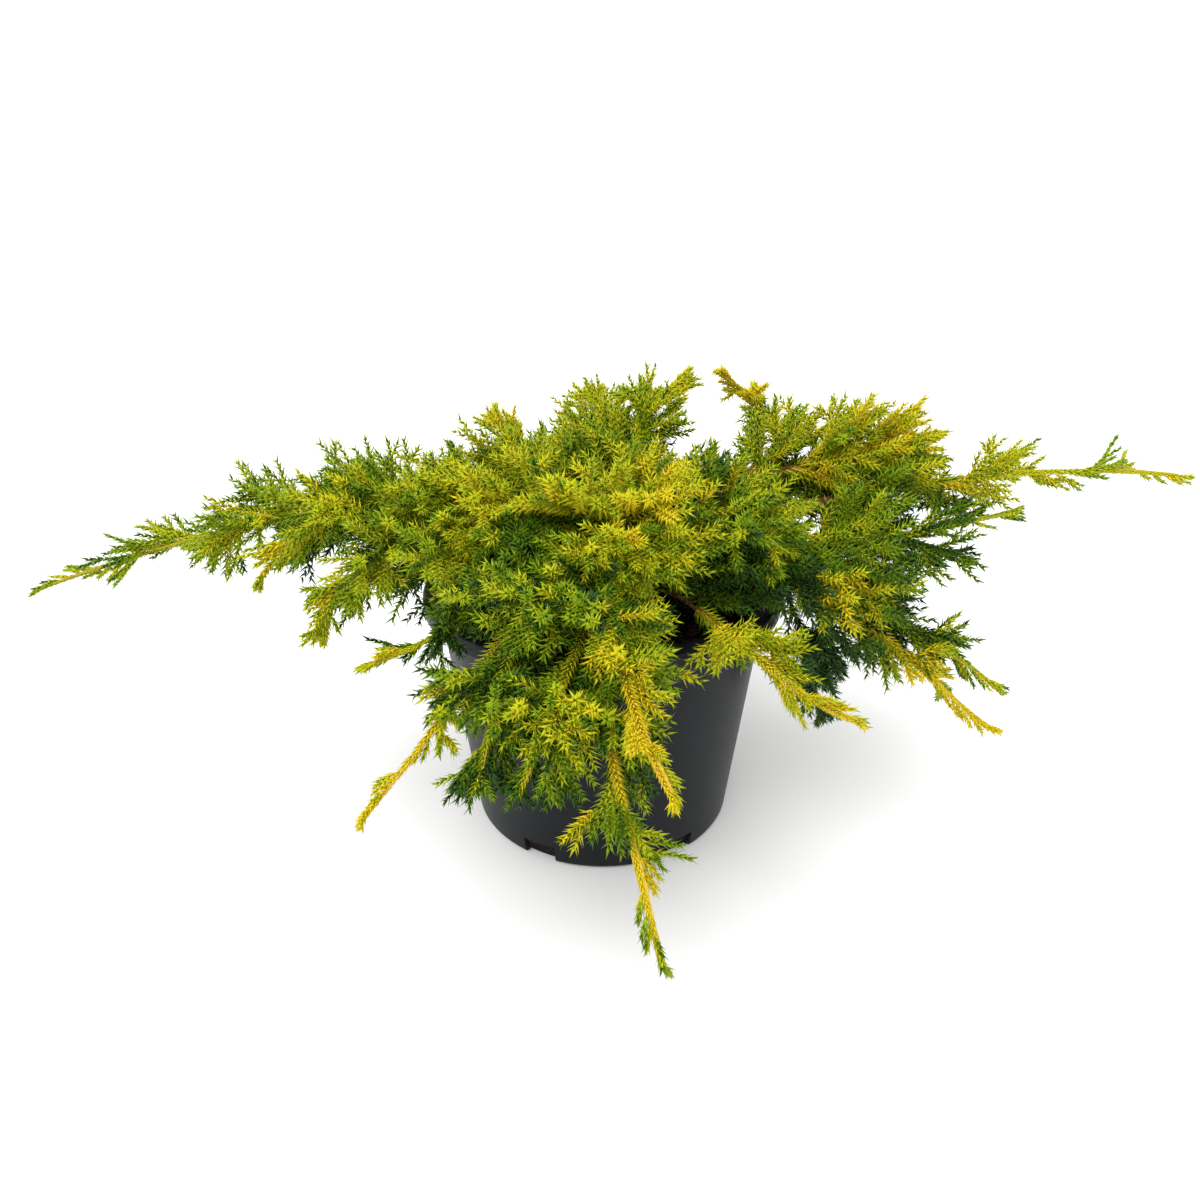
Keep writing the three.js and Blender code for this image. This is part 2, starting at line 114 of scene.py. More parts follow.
world = bpy.data.worlds.new("tent")
world.use_nodes = True
world.node_tree.nodes["Background"].inputs["Color"].default_value = (1, 1, 1, 1)
world.node_tree.nodes["Background"].inputs["Strength"].default_value = TENT
bpy.context.scene.world = world
bpy.context.scene.view_settings.view_transform = "Standard"

sun_data = bpy.data.lights.new("overhead_light", "SUN")
sun_data.energy = SUN_STRENGTH
sun_data.angle = math.radians(SUN_SOFTNESS)
sun = bpy.data.objects.new("overhead_light", sun_data)
sun.rotation_euler = (math.radians(SUN_TILT), 0, math.radians(SUN_TURN))
bpy.context.scene.collection.objects.link(sun)


# Pot
# A squat nursery container, blown and moulded in one piece from black polypropylene: a thin
# tapering wall, a heavy turned rim, and a rounded heel with six slots that let water out.
POT_HEIGHT = 140
RIM_RADIUS = 100
RIM_BAND = 10                    # the height of the rim's outer face
RIM_INNER = 88.5
RIM_ROUNDING = 1.5               # of its lower outer edge
LIP_ROUNDING = 2                 # of its upper outer edge
MOUTH_ROUNDING = 1               # of its upper inner edge
RIM_FILLET = (0.6, 1)            # out and down, where the wall meets the rim
RIM_DEPTH = 4                    # how far its thickening reaches down inside
BODY_TOP_RADIUS = 91.2
BODY_FOOT_RADIUS = 76.4
HEEL = 3
WALL = 2.2
POT_FLOOR = 3
SLOTS = 6
SLOT_COLUMNS = 6                 # of the spun wall's columns
SLOT_HEIGHT = 11
SLOT_INNER_RADIUS = 71.9
SLOT_MARGIN = 0.2                # of a column, so that the columns at its ends count
FIRST_SLOT = 303                 # degrees
OUTER_RINGS = (SLOT_HEIGHT, 50, 90, 126)
INNER_RINGS = (60, SLOT_HEIGHT, POT_FLOOR)
POT_COLUMNS = 150
MERGE_GAP = 1e-7
BUMP_STRENGTH = 0.6
POT_PLASTIC = (0.007, 0.008, 0.0095)
HAZED_PLASTIC = tuple(1.35 * part for part in POT_PLASTIC)


def wall_radius(z):
    return BODY_FOOT_RADIUS + (BODY_TOP_RADIUS - BODY_FOOT_RADIUS) * z / (POT_HEIGHT - RIM_BAND)


def arc(centre, radius, start, end, steps):
    turns = [math.radians(start + (end - start) * k / steps) for k in range(steps + 1)]
    return [(centre[0] + radius * math.cos(a), centre[1] + radius * math.sin(a)) for a in turns]


def spun(profile, start, columns):
    """A closed shape of turning, from the radii and heights of its outline in mm"""
    bm = bmesh.new()
    turn = math.radians(start)
    verts = [bm.verts.new((r * MM * math.cos(turn), r * MM * math.sin(turn), z * MM))
             for r, z in profile]
    edges = [bm.edges.new(pair) for pair in zip(verts, verts[1:])]
    bmesh.ops.spin(bm, geom=verts + edges, cent=(0, 0, 0), axis=(0, 0, 1),
                   angle=math.tau, steps=columns, use_merge=True)
    bmesh.ops.remove_doubles(bm, verts=bm.verts, dist=MERGE_GAP)
    bmesh.ops.recalc_face_normals(bm, faces=bm.faces)
    return bm


def soften(bm, angle):
    """Smooth shading, with a crease where faces meet at more than the angle"""
    for face in bm.faces:
        face.smooth = True
    for edge in bm.edges:
        edge.smooth = edge.calc_face_angle(math.pi) < math.radians(angle)


def add_noise(material, scale, detail):
    nodes, links = material.node_tree.nodes, material.node_tree.links
    place = nodes.new("ShaderNodeTexCoord")
    grain = nodes.new("ShaderNodeTexNoise")
    grain.inputs["Scale"].default_value = scale
    grain.inputs["Detail"].default_value = detail
    links.new(place.outputs["Object"], grain.inputs["Vector"])
    return grain


def add_grain(material, scale, height, detail):
    """Relief of the given height in metres, as a bump"""
    nodes, links = material.node_tree.nodes, material.node_tree.links
    grain = add_noise(material, scale, detail)
    bump = nodes.new("ShaderNodeBump")
    bump.inputs["Strength"].default_value = BUMP_STRENGTH
    bump.inputs["Distance"].default_value = height
    links.new(grain.outputs["Fac"], bump.inputs["Height"])
    links.new(bump.outputs["Normal"], nodes["Principled BSDF"].inputs["Normal"])
    return grain


def tint(material, grain, stops):
    """Colours by the height of the grain"""
    nodes, links = material.node_tree.nodes, material.node_tree.links
    ramp = nodes.new("ShaderNodeValToRGB")
    elements = ramp.color_ramp.elements
    for k, (place, colour) in enumerate(stops):
        element = elements[k] if k < len(elements) else elements.new(place)
        element.position = place
        element.color = (*colour, 1)
    links.new(grain.outputs["Fac"], ramp.inputs["Fac"])
    links.new(ramp.outputs["Color"], nodes["Principled BSDF"].inputs["Base Color"])


band = POT_HEIGHT - RIM_BAND
pot_profile = [
    (0, 0), (SLOT_INNER_RADIUS, 0),
    *arc((wall_radius(HEEL) - HEEL, HEEL), HEEL, -90, 0, 5),
    *[(wall_radius(z), z) for z in OUTER_RINGS],
    (BODY_TOP_RADIUS, band - RIM_FILLET[1]), (BODY_TOP_RADIUS + RIM_FILLET[0], band),
    (RIM_RADIUS - RIM_ROUNDING, band),
    *arc((RIM_RADIUS - RIM_ROUNDING, band + RIM_ROUNDING), RIM_ROUNDING, -60, 0, 3),
    *arc((RIM_RADIUS - LIP_ROUNDING, POT_HEIGHT - LIP_ROUNDING), LIP_ROUNDING, 0, 90, 5),
    *arc((RIM_INNER + MOUTH_ROUNDING, POT_HEIGHT - MOUTH_ROUNDING), MOUTH_ROUNDING, 90, 180, 3),
    (wall_radius(band) - WALL, band - RIM_DEPTH),
    *[(wall_radius(z) - WALL, z) for z in INNER_RINGS],
    (SLOT_INNER_RADIUS, POT_FLOOR), (0, POT_FLOOR),
]
column = 360 / POT_COLUMNS
pot_bm = spun(pot_profile, (FIRST_SLOT - SLOT_COLUMNS / 2 * column) % column, POT_COLUMNS)


def is_in_slot(place, direction):
    turn = math.degrees(math.atan2(place.y, place.x)) - direction
    off = (turn + 180) % 360 - 180
    return abs(off) < (SLOT_COLUMNS + SLOT_MARGIN) / 2 * column


def covers_slot(face, direction):
    middle = face.calc_center_median()
    return (is_in_slot(middle, direction) and middle.z < SLOT_HEIGHT * MM
            and middle.xy.length > SLOT_INNER_RADIUS * MM)


def edges_slot(edge, direction):
    middle = (edge.verts[0].co + edge.verts[1].co) / 2
    return edge.is_boundary and is_in_slot(middle, direction)


for k in range(SLOTS):
    slot_direction = FIRST_SLOT + k * 360 / SLOTS
    opened = [face for face in pot_bm.faces if covers_slot(face, slot_direction)]
    bmesh.ops.delete(pot_bm, geom=opened, context="FACES")
    edges = [edge for edge in pot_bm.edges if edges_slot(edge, slot_direction)]
    bmesh.ops.bridge_loops(pot_bm, edges=edges)
bmesh.ops.recalc_face_normals(pot_bm, faces=pot_bm.faces)
soften(pot_bm, 32)

pot_plastic = new_material("pot_plastic", POT_PLASTIC, 0.4, 0.13)
add_grain(pot_plastic, 900, 0.00006, 4)
pot_haze = add_noise(pot_plastic, 14, 6)
tint(pot_plastic, pot_haze, [(0.3, POT_PLASTIC), (0.75, HAZED_PLASTIC)])
pot = new_object("nursery_pot", mesh_from(pot_bm, "nursery_pot"), pot_plastic)
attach(pot, "root")
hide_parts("pot")


# Potting mix
# Composted bark and peat, moist and nearly black, filled to 16 mm under the rim and settled into
# an uneven crust, with coarse chips of bark lying on it. Its near black is partly the moist mix's
# own colour and partly painted shade, so that it shows black through the pot's slots.
SOIL_LEVEL = 124
SOIL_WAIST = 40                  # the height of the ring between its foot and its crust
SOIL_SHOULDER = 2
SOIL_GAP = 0.3                   # from the pot
SOIL_RINGS = 30
SOIL_COLUMNS = 96
SOIL_RELIEF = 2.2
SOIL_LUMPS = 90                  # to a metre
SOIL_SINK = 0.1                  # of the relief
# Partly painted shade: all three colours of the mix are kept nearly black, so that it shows black
# through the slots
SOIL_BROWN = (0.010, 0.0065, 0.0045)
SOIL_WET_AND_SHADED = (0.003, 0.002, 0.0016)
SOIL_DRY = (0.035, 0.021, 0.013)
CHIPS = 900
CHIP_NUMBERS = 24                # numbers to a chip, three for each of its corners
CHIP_LENGTH = (2.5, 9)
CHIP_WIDTH = (0.18, 0.38)        # half of it, as a share of the length
CHIP_THICKNESS = (0.5, 0.09)     # half of it at no length, and more for each mm of length
CHIP_RAGGED = (0.65, 1.15)
CHIP_HEIGHT = (0.2, 1.8)         # over the mix
CHIP_TIP = 0.7
CHIP_EDGE = 6                    # from the pot
CHIP_BROWN = (0.075, 0.042, 0.022)
CHIP_DARK = (0.015, 0.009, 0.006)


def chance(seed, place):
    """A number from 0 to 1 that depends only on the seed and the place"""
    wave = np.sin(seed * 12.9898 + place * 78.233) * 43758.5453
    return wave - np.floor(wave)


def between(ends, share):
    return ends[0] + (ends[1] - ends[0]) * share


def turned(points, angle, first_axis, second_axis):
    """Groups of points, each turned by its own angle in the plane of two axes"""
    cosine, sine = np.cos(angle)[:, None], np.sin(angle)[:, None]
    one, other = points[..., first_axis], points[..., second_axis]
    result = points.copy()
    result[..., first_axis] = one * cosine - other * sine
    result[..., second_axis] = one * sine + other * cosine
    return result


def joined(name, points, faces, material):
    """One mesh from points in metres and rows of corners, a row for each face"""
    mesh = bpy.data.meshes.new(name)
    mesh.vertices.add(len(points))
    mesh.vertices.foreach_set("co", np.asarray(points, np.float32).ravel())
    mesh.loops.add(faces.size)
    mesh.loops.foreach_set("vertex_index", np.asarray(faces, np.int32).ravel())
    mesh.polygons.add(len(faces))
    starts = np.arange(0, faces.size, faces.shape[1], dtype=np.int32)
    mesh.polygons.foreach_set("loop_start", starts)
    piece = new_object(name, mesh, material)
    mesh.update(calc_edges=True)
    return piece


soil_edge = wall_radius(SOIL_LEVEL) - WALL - SOIL_GAP
soil_profile = [
    (0, POT_FLOOR + SOIL_GAP), (wall_radius(POT_FLOOR) - WALL - 2 * SOIL_GAP, POT_FLOOR + SOIL_GAP),
    (wall_radius(SOIL_WAIST) - WALL - SOIL_GAP, SOIL_WAIST),
    (soil_edge, SOIL_LEVEL - SOIL_SHOULDER),
    *[(soil_edge * (1 - k / SOIL_RINGS), SOIL_LEVEL) for k in range(1, SOIL_RINGS + 1)],
]
soil_bm = spun(soil_profile, 0, SOIL_COLUMNS)
for vert in soil_bm.verts:
    if vert.co.z > (SOIL_LEVEL - SOIL_SHOULDER / 2) * MM:
        lump = noise.fractal(vert.co * SOIL_LUMPS, 1, 2, 4)
        vert.co.z += SOIL_RELIEF * MM * (lump - SOIL_SINK)
soften(soil_bm, 50)
potting_mix = new_material("potting_mix", SOIL_BROWN, 0.95, 0.2)
crumbs = add_grain(potting_mix, 260, 0.0012, 8)
tint(potting_mix, crumbs, [(0.35, SOIL_WET_AND_SHADED), (0.55, SOIL_BROWN), (0.75, SOIL_DRY)])
soil = new_object("potting_mix", mesh_from(soil_bm, "potting_mix"), potting_mix)
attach(soil, "root")
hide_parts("soil")

number = np.arange(CHIPS)
chip_out = (soil_edge - CHIP_EDGE) * np.sqrt(chance(1, number))
chip_turn = math.tau * chance(2, number)
chip_centre = np.stack([chip_out * np.cos(chip_turn), chip_out * np.sin(chip_turn),
                        SOIL_LEVEL + between(CHIP_HEIGHT, chance(3, number))], 1)
chip_size = between(CHIP_LENGTH, chance(4, number) ** 2)
half = np.stack([chip_size / 2, chip_size * between(CHIP_WIDTH, chance(5, number)),
                 CHIP_THICKNESS[0] + CHIP_THICKNESS[1] * chip_size], 1)
corner = np.array([[x, y, z] for x in (-1, 1) for y in (-1, 1) for z in (-1, 1)], float)
place = number[:, None, None] * CHIP_NUMBERS + np.arange(CHIP_NUMBERS).reshape(8, 3)
spread = corner[None] * half[:, None] * between(CHIP_RAGGED, chance(6, place))
yaw, tip = math.tau * chance(7, number), CHIP_TIP * (chance(8, number) - 0.5)
chip_corners = turned(turned(spread, tip, 2, 0), yaw, 0, 1) + chip_centre[:, None]
box_faces = np.array([[0, 1, 3, 2], [4, 6, 7, 5], [0, 4, 5, 1], [2, 3, 7, 6], [0, 2, 6, 4],
                      [1, 5, 7, 3]])
bark_chip = new_material("bark_chip", CHIP_BROWN, 0.9, 0.2)
chip_grain = add_grain(bark_chip, 500, 0.0004, 5)
tint(bark_chip, chip_grain, [(0.3, CHIP_DARK), (0.7, CHIP_BROWN)])
chips = joined("bark_chips", chip_corners.reshape(-1, 3) * MM,
               (box_faces[None] + 8 * number[:, None, None]).reshape(-1, 4), bark_chip)
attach(chips, "root")


# Stem and boughs
# One short woody stem, flared where it enters the mix, divides at once into arching boughs. The
# bark is thin and orange-brown and flakes off in lengthwise strips.
STEM_TOP = 172
STEM_RADIUS = 9
STEM_TAPER = 3
STEM_COLUMNS = 40
STEM_RIDGE = 0.07                # of its radius
FLARE = 5
FLARE_HEIGHT = 9
FLARE_LOBES = 5
LOBE_DEPTH = 0.16
COLLAR = 4
SHOULDER_SHARE = 0.33
ELBOW_SHARE = 0.72
ELBOW_SWEEP = 0.35
SHOULDER_OUT = 26
LINE_STEPS = 200
HEADING_STEP = 0.004
LIMB_MIN_RADIUS = 2.0
LIMB_GROWTH = 0.006
LIMB_TAPER = 0.7
OLD_WOOD = 0.26                  # of a bough's length within its foliage
OLD_WOOD_LAP = 0.02
TWIG_TIP = 1.1
LEADER_TIP = 0.7
LEADER_TAPER = 4
BARK_RIDGE = 0.16                # of a bough's radius
BARK_STRIP = (1.7, 0.23)         # how fast ridges change round a bough and along it
BOUGH_RING = 3                   # mm between its rings
BOUGH_SIDES = 10
FEWEST_RINGS = 8
ROOT_IN = 0.35                   # its foot stands inside the stem, lower and thicker
ROOT_DROP = 3
ROOT_SWELL = 1.15
BARK = (0.2, 0.085, 0.03)
BARK_CREVICE = (0.07, 0.03, 0.014)
BARK_FLAKE = (0.34, 0.17, 0.07)
BARK_EDGE = (0.42, 0.25, 0.13)


def bough(name, aim, sweep, reach, heights, bare, width, fade, sprays, glow, swing=ELBOW_SHARE):
    fork, shoulder, elbow, tip = heights
    return dict(name=name, aim=aim, sweep=sweep, reach=reach, fork=fork, shoulder=shoulder,
                elbow=elbow, tip=tip, bare=bare, width=width, fade=fade, sprays=sprays,
                glow=glow, swing=swing)


# Aim is the direction of a bough's tip and sweep how far it turns on its way there. The heights
# are those of fork, shoulder, elbow and tip. Bare is the share of its length without foliage,
# width the length of the longest side shoots, fade how fast they shorten towards the tip, and
# sprays a measure of their number. Glow is how golden the foliage is. Swing is how far out the
# elbow stands, as a share of the reach.
BOUGHS = [
    bough("left_leader", 184.5, 0, 305, (164, 209, 173, 144), 0.24, 52, 1.3, 10, 0.38),
    bough("left_second", 201, 10, 178, (137, 178, 232, 164), 0.34, 38, 1.0, 7, 0.46),
    bough("left_droop", 210, 2, 156, (148, 162, 222, 143), 0.34, 50, 1.0, 7, 0.48),
    bough("upper_left", 165, 0, 101, (143, 154, 175, 185), 0.28, 30, 0.8, 7, 0.54),
    bough("left_plume", 138.5, 4, 85, (167, 176, 192, 225), 0.3, 20, 0.8, 7, 0.6),
    bough("small_plume", 121, 4, 52, (160, 190, 208, 203), 0.34, 20, 0.7, 6, 0.5),
    bough("centre_plume", 50, -25, 78, (137, 213, 238, 243), 0.26, 36, 0.9, 7, 0.54),
    bough("right_plume", 57.5, 30, 140, (140, 198, 150, 238), 0.64, 17, 1.0, 7, 0.7, 2.12),
    bough("right_crest", 9, -8, 188, (164, 188, 209, 213), 0.42, 50, 0.6, 9, 0.72),
    bough("right_leader", 1, -7, 317, (155, 181, 209, 198), 0.26, 46, 1.4, 10, 0.5),
    bough("right_second", 355, 0, 217, (146, 160, 164, 187), 0.28, 64, 1.1, 7, 0.3),
    bough("right_low", 341, -3, 213, (170, 221, 120, 84), 0.34, 44, 1.6, 7, 1.0),
    bough("right_low_back", 347, 6, 218, (137, 170, 148, 95), 0.42, 50, 1.6, 7, 0.44),
    bough("right_fill", 346, 25, 127, (149, 150, 240, 66), 0.38, 50, 1.0, 7, 0.06),
    bough("front_right", 305, -1, 180, (137, 176, 126, 138), 0.2, 44, 1.7, 7, 0.7),
    bough("front_bright", 276.8, 12.2, 203, (151, 201, 146, 141), 0.4, 12, 1.2, 7, 0.74),
    bough("front_leader", 276, 18, 210, (137, 168, 140, 72), 0.34, 50, 2.0, 8, 0.92),
    bough("front_middle", 258, -24, 160, (143, 191, 162, 112), 0.26, 52, 0.6, 7, 0.54),
    bough("front_low_left", 252, 9, 164, (170, 188, 158, 112), 0.28, 46, 0.6, 7, 0.42),
    bough("front_left", 240, -9, 192, (158, 178, 132, 104), 0.28, 44, 1.9, 7, 0.8),
    bough("left_small", 225, -2, 151, (137, 170, 136, 142), 0.26, 30, 1.6, 7, 0.62),
    bough("crown_front", 275, 0, 92, (167, 196, 196, 174), 0.2, 54, 0.6, 9, 0.78),
    bough("crown_left", 222, 2, 96, (156, 196, 204, 186), 0.2, 48, 0.6, 9, 0.58),
    bough("crown_right", 328, 0, 108, (158, 188, 190, 178), 0.2, 48, 0.6, 9, 0.4),
    bough("crown_back", 91, 2, 104, (164, 172, 194, 229), 0.2, 44, 0.8, 9, 0.55),
    bough("back_left", 142, 2, 220, (151, 184, 160, 124), 0.3, 52, 1.0, 8, 0.5),
    bough("back_middle", 104, 2, 206, (144, 182, 156, 112), 0.3, 54, 1.0, 8, 0.5),
    bough("back_right", 64, 14, 222, (152, 158, 150, 120), 0.3, 52, 1.0, 8, 0.5),
]


def stem_radius(z):
    return (STEM_RADIUS - STEM_TAPER * (z - SOIL_LEVEL) / (STEM_TOP - SOIL_LEVEL)
            + FLARE * math.exp(-(z - SOIL_LEVEL) / FLARE_HEIGHT))


def spot(direction, distance, height):
    turn = math.radians(direction)
    return np.array([distance * math.cos(turn), distance * math.sin(turn), height])


def bezier(ends, t):
    t = np.asarray(t, float)[..., None]
    a = 1 - t
    return a**3 * ends[0] + 3 * a * a * t * ends[1] + 3 * a * t * t * ends[2] + t**3 * ends[3]


def unit(vectors):
    return vectors / np.maximum(np.linalg.norm(vectors, axis=-1, keepdims=True), 1e-9)


def limb_of(sizes, seed):
    """A bough with its curve, and the distance walked along it at each step"""
    start = sizes["aim"] - sizes["sweep"]
    reach = sizes["reach"]
    ends = np.array([
        spot(start, stem_radius(sizes["fork"]) + COLLAR, sizes["fork"]),
        spot(start, max(SHOULDER_SHARE * reach, SHOULDER_OUT), sizes["shoulder"]),
        spot(sizes["aim"] - ELBOW_SWEEP * sizes["sweep"], sizes["swing"] * reach, sizes["elbow"]),
        spot(sizes["aim"], reach, sizes["tip"])])
    steps = np.linspace(0, 1, LINE_STEPS + 1)
    strides = np.linalg.norm(np.diff(bezier(ends, steps), axis=0), axis=1)
    walked = np.concatenate([[0], np.cumsum(strides)])
    return dict(sizes, seed=seed, ends=ends, steps=steps, walked=walked, length=walked[-1],
                thick=LIMB_MIN_RADIUS + LIMB_GROWTH * reach)


def point_at(limb, u):
    t = np.interp(np.asarray(u) * limb["length"], limb["walked"], limb["steps"])
    return bezier(limb["ends"], t)


def heading_at(limb, u):
    return unit(point_at(limb, np.minimum(1, np.asarray(u) + HEADING_STEP))
                - point_at(limb, np.maximum(0, np.asarray(u) - HEADING_STEP)))


def radius_at(limb, u):
    bare, thick = limb["bare"], limb["thick"]
    return np.interp(u, [0, bare, 1], [thick, thick * LIMB_TAPER, TWIG_TIP])


def old_wood(limb):
    """Where a bough's flaking bark gives way to a leader's young bark and needles"""
    return limb["bare"] + OLD_WOOD * (1 - limb["bare"])


def leader_radius(limb, u):
    """Thick as its bough where that ends, and soon slender"""
    s = np.clip((u - limb["bare"]) / (1 - limb["bare"]), 0, 1)
    return LEADER_TIP + (limb["thick"] * LIMB_TAPER - LEADER_TIP) * (1 - s) ** LEADER_TAPER


def add_rod(bm, centres, radii, sides):
    """A tapering rod through the centres, with closed ends, its bark standing in ridges"""
    headings = [Vector(h) for h in unit(np.gradient(centres, axis=0))]
    turn = headings[0].to_track_quat("Z", "Y")
    matrix = Matrix.LocRotScale(Vector(centres[0]) * MM, turn, Vector((1, 1, 1)) * radii[0] * MM)
    circle = bmesh.ops.create_circle(bm, cap_ends=True, segments=sides, radius=1, matrix=matrix)
    verts = circle["verts"]
    edges = [edge for edge in verts[0].link_faces[0].edges]
    for k in range(1, len(centres)):
        grown = bmesh.ops.extrude_edge_only(bm, edges=edges)["geom"]
        verts = [part for part in grown if isinstance(part, bmesh.types.BMVert)]
        ring = set(verts)
        edges = [part for part in grown if isinstance(part, bmesh.types.BMEdge)
                 and part.verts[0] in ring and part.verts[1] in ring]
        turn = headings[k - 1].rotation_difference(headings[k]) @ turn
        centre = Vector(centres[k]) * MM
        placed = Matrix.LocRotScale(centre, turn, Vector((1, 1, 1)) * radii[k] * MM)
        bmesh.ops.transform(bm, matrix=placed @ matrix.inverted(), verts=verts)
        matrix = placed
        for n, vert in enumerate(verts):
            ridge = noise.noise(Vector((n * BARK_STRIP[0], k * BARK_STRIP[1], radii[0])))
            vert.co += (vert.co - centre) * BARK_RIDGE * ridge
    bmesh.ops.contextual_create(bm, geom=edges)


limbs = [limb_of(sizes, seed) for seed, sizes in enumerate(BOUGHS)]

thin_bark = new_material("thin_bark", BARK, 0.85, 0.3)
bark_grain = add_grain(thin_bark, 420, 0.0007, 6)
tint(thin_bark, bark_grain, [
    (0.3, BARK_CREVICE), (0.5, BARK), (0.68, BARK_FLAKE), (0.8, BARK_EDGE)])

stem_profile = [(0, SOIL_LEVEL - 1)]
for z in [SOIL_LEVEL - 1, *range(SOIL_LEVEL + 1, STEM_TOP - 1, 2)]:
    stem_profile.append((stem_radius(z), z))
stem_profile += [(stem_radius(STEM_TOP) * 0.7, STEM_TOP - 0.5), (0, STEM_TOP)]
stem_bm = spun(stem_profile, 0, STEM_COLUMNS)
for vert in stem_bm.verts:
    z = vert.co.z / MM
    turn = math.atan2(vert.co.y, vert.co.x)
    flared = math.exp(-(z - SOIL_LEVEL) / FLARE_HEIGHT)
    lobe = LOBE_DEPTH * flared * math.cos(FLARE_LOBES * turn)
    ridge = STEM_RIDGE * noise.noise(Vector((4 * math.cos(turn), 4 * math.sin(turn), z * 0.05)))
    vert.co.xy *= 1 + lobe + ridge
soften(stem_bm, 60)
stem = new_object("stem_wood", mesh_from(stem_bm, "stem_wood"), thin_bark)
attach(stem, "root")
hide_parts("stem")

bough_bm = bmesh.new()
for limb in limbs:
    rings = max(FEWEST_RINGS, int(limb["length"] * old_wood(limb) / BOUGH_RING))
    u = np.linspace(0, old_wood(limb) + OLD_WOOD_LAP, rings)
    root = point_at(limb, 0) * [ROOT_IN, ROOT_IN, 1] - [0, 0, ROOT_DROP]
    radii = np.where(u < limb["bare"], radius_at(limb, u), leader_radius(limb, u))
    add_rod(bough_bm, np.vstack([root, point_at(limb, u)]),
            np.concatenate([[limb["thick"] * ROOT_SWELL], radii]), BOUGH_SIDES)
bmesh.ops.recalc_face_normals(bough_bm, faces=bough_bm.faces)
soften(bough_bm, 60)
boughs = new_object("boughs_wood", mesh_from(bough_bm, "boughs_wood"), thin_bark)
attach(boughs, "root")
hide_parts(*[limb["name"] for limb in limbs])


# Shoots
# Each bough runs on through its foliage as a leader with side shoots on a spiral. They lean
# forward, shorten towards the tip, and carry two finer orders of shoots, flattened like fans.
GOLDEN_ANGLE = 137.508
FINER = 7                        # side shoots here for each spray in the solids
LAST_PLACE = 0.99
LEAN_BASE = 56
LEAN_TIP = 30
FLATNESS = 0.85
ROLL_SPREAD = 1.2
TUFT = 7
FOOT_LENGTH = 0.65               # the first side shoots are shorter
FOOT_SHARE = 0.15
LENGTH_SPREAD = 0.3
SIDE_LENGTH = 0.25               # and so are those that point up or down
PAST_TIP = 1                     # how far a side shoot may outgrow its leader
FORWARD = 0.16                   # how far side shoots curve along the bough, of their length
RISE = -0.02                     # and up
THINNER = 0.4
OUTER_PART = (0.35, 0.7)         # where leaders have longer, fewer and wider set side shoots
OUTER_LENGTH = 0.1
OUTER_OPEN = 0.28
OUTER_LEAN = 3

SHARES = (1, 0.85, 0.7, 0.55, 0.4)   # of its length, tried until a side shoot stands free
PROBES = (0.35, 0.7, 1)          # where along it that is tested
ROOM = 1.2                       # from bare boughs
SLACK = 2.6                      # how far fine shoots may mingle with the next mass's
POT_ROOM = 5
MOUTH_ROOM = 4
CRUST_ROOM = 3
LOWEST = 4
HIGHEST = 248
LINE_PIECES = 28
UP = np.array([0, 0, 1.0])

FAN_TILT = 2.4
FAN_STEP = 7.5                   # between the shoots on a side shoot
FAN_SHARE = 0.5                  # their length, as a share of what is left of it
FAN_LEAST = 8
FAN_MOST = 30
TUFT_STEP = 9.5
TUFT_SHARE = 0.4
TUFT_LEAST = 5
TUFT_MOST = 12
FINE_START = 0.7                 # steps before the first fine shoot, and after the last
FINE_END = 0.6
FINE_JITTER = 0.4
FINE_ROLL = 1.1                  # how far they leave the plane of the fan
FINE_ROLL_MIDDLE = 0.4
FINE_LEAN = (46, 34)
FINE_LEAN_SPREAD = 8
FINE_FADE = 0.8
FINE_SPREAD = (0.75, 1.25)
FINE_FORWARD = 0.2
FINE_THINNER = 0.6
LUCK_KEPT = 0.75                 # a fine shoot's luck is mostly that of its parent
LUCK_NEW = 0.5

INNER_STEP = 3.2                 # between the shoots on a bare bough
INNER_FROM = 0.15
INNER_LEAN = 62
INNER_LEAN_SPREAD = 30
INNER_LENGTH = (12, 30)
INNER_BEND = 0.1
INNER_THINNER = 0.3
HEART = 92                       # where they grow in full, and shorter further out
PAST_HEART = 0.42

for limb in limbs:
    limb["line"] = point_at(limb, np.linspace(0, 1, LINE_PIECES + 1))


def distance_to(points, limb, start, end):
    first_piece, last_piece = round(start * LINE_PIECES), round(end * LINE_PIECES)
    nearest = np.full(len(points), np.inf)
    for k in range(first_piece, last_piece):
        a, b = limb["line"][k], limb["line"][k + 1]
        t = np.clip(((points - a) @ (b - a)) / ((b - a) @ (b - a)), 0, 1)
        nearest = np.minimum(nearest, np.linalg.norm(points - a - t[:, None] * (b - a), axis=1))
    return nearest


def clear_of_pot(points):
    """Whether points stand outside the pot or over the mix, over the floor and under the top"""
    out = np.hypot(points[:, 0], points[:, 1])
    z = points[:, 2]
    radius = np.where(z > POT_HEIGHT - RIM_BAND - POT_ROOM, RIM_RADIUS, wall_radius(z))
    outside = (z > POT_HEIGHT + POT_ROOM) | (out > radius + POT_ROOM)
    inside = ((z > SOIL_LEVEL + CRUST_ROOM) & (out < RIM_INNER - MOUTH_ROOM)
              & (out > 2 * STEM_RADIUS))
    return (outside | inside) & (z > LOWEST) & (z < HIGHEST)


def is_free(points, own):
    """Whether points are in the space of their own mass of foliage and clear of bare boughs"""
    share = distance_to(points, own, own["bare"], 1) / own["width"] / SLACK
    free = clear_of_pot(points)
    for other in limbs:
        if other is own:
            continue
        free &= distance_to(points, other, 0, other["bare"]) > other["thick"] + ROOM
        free &= distance_to(points, other, other["bare"], 1) / other["width"] > share
    return free


def across(headings):
    side = unit(np.cross(headings, UP))
    return side, np.cross(side, headings)


def smooth(value, low, high):
    x = np.clip((value - low) / (high - low), 0, 1)
    return x * x * (3 - 2 * x)


def leaning(along, outward, lean):
    return unit(along * np.cos(lean)[:, None] + outward * np.sin(lean)[:, None])


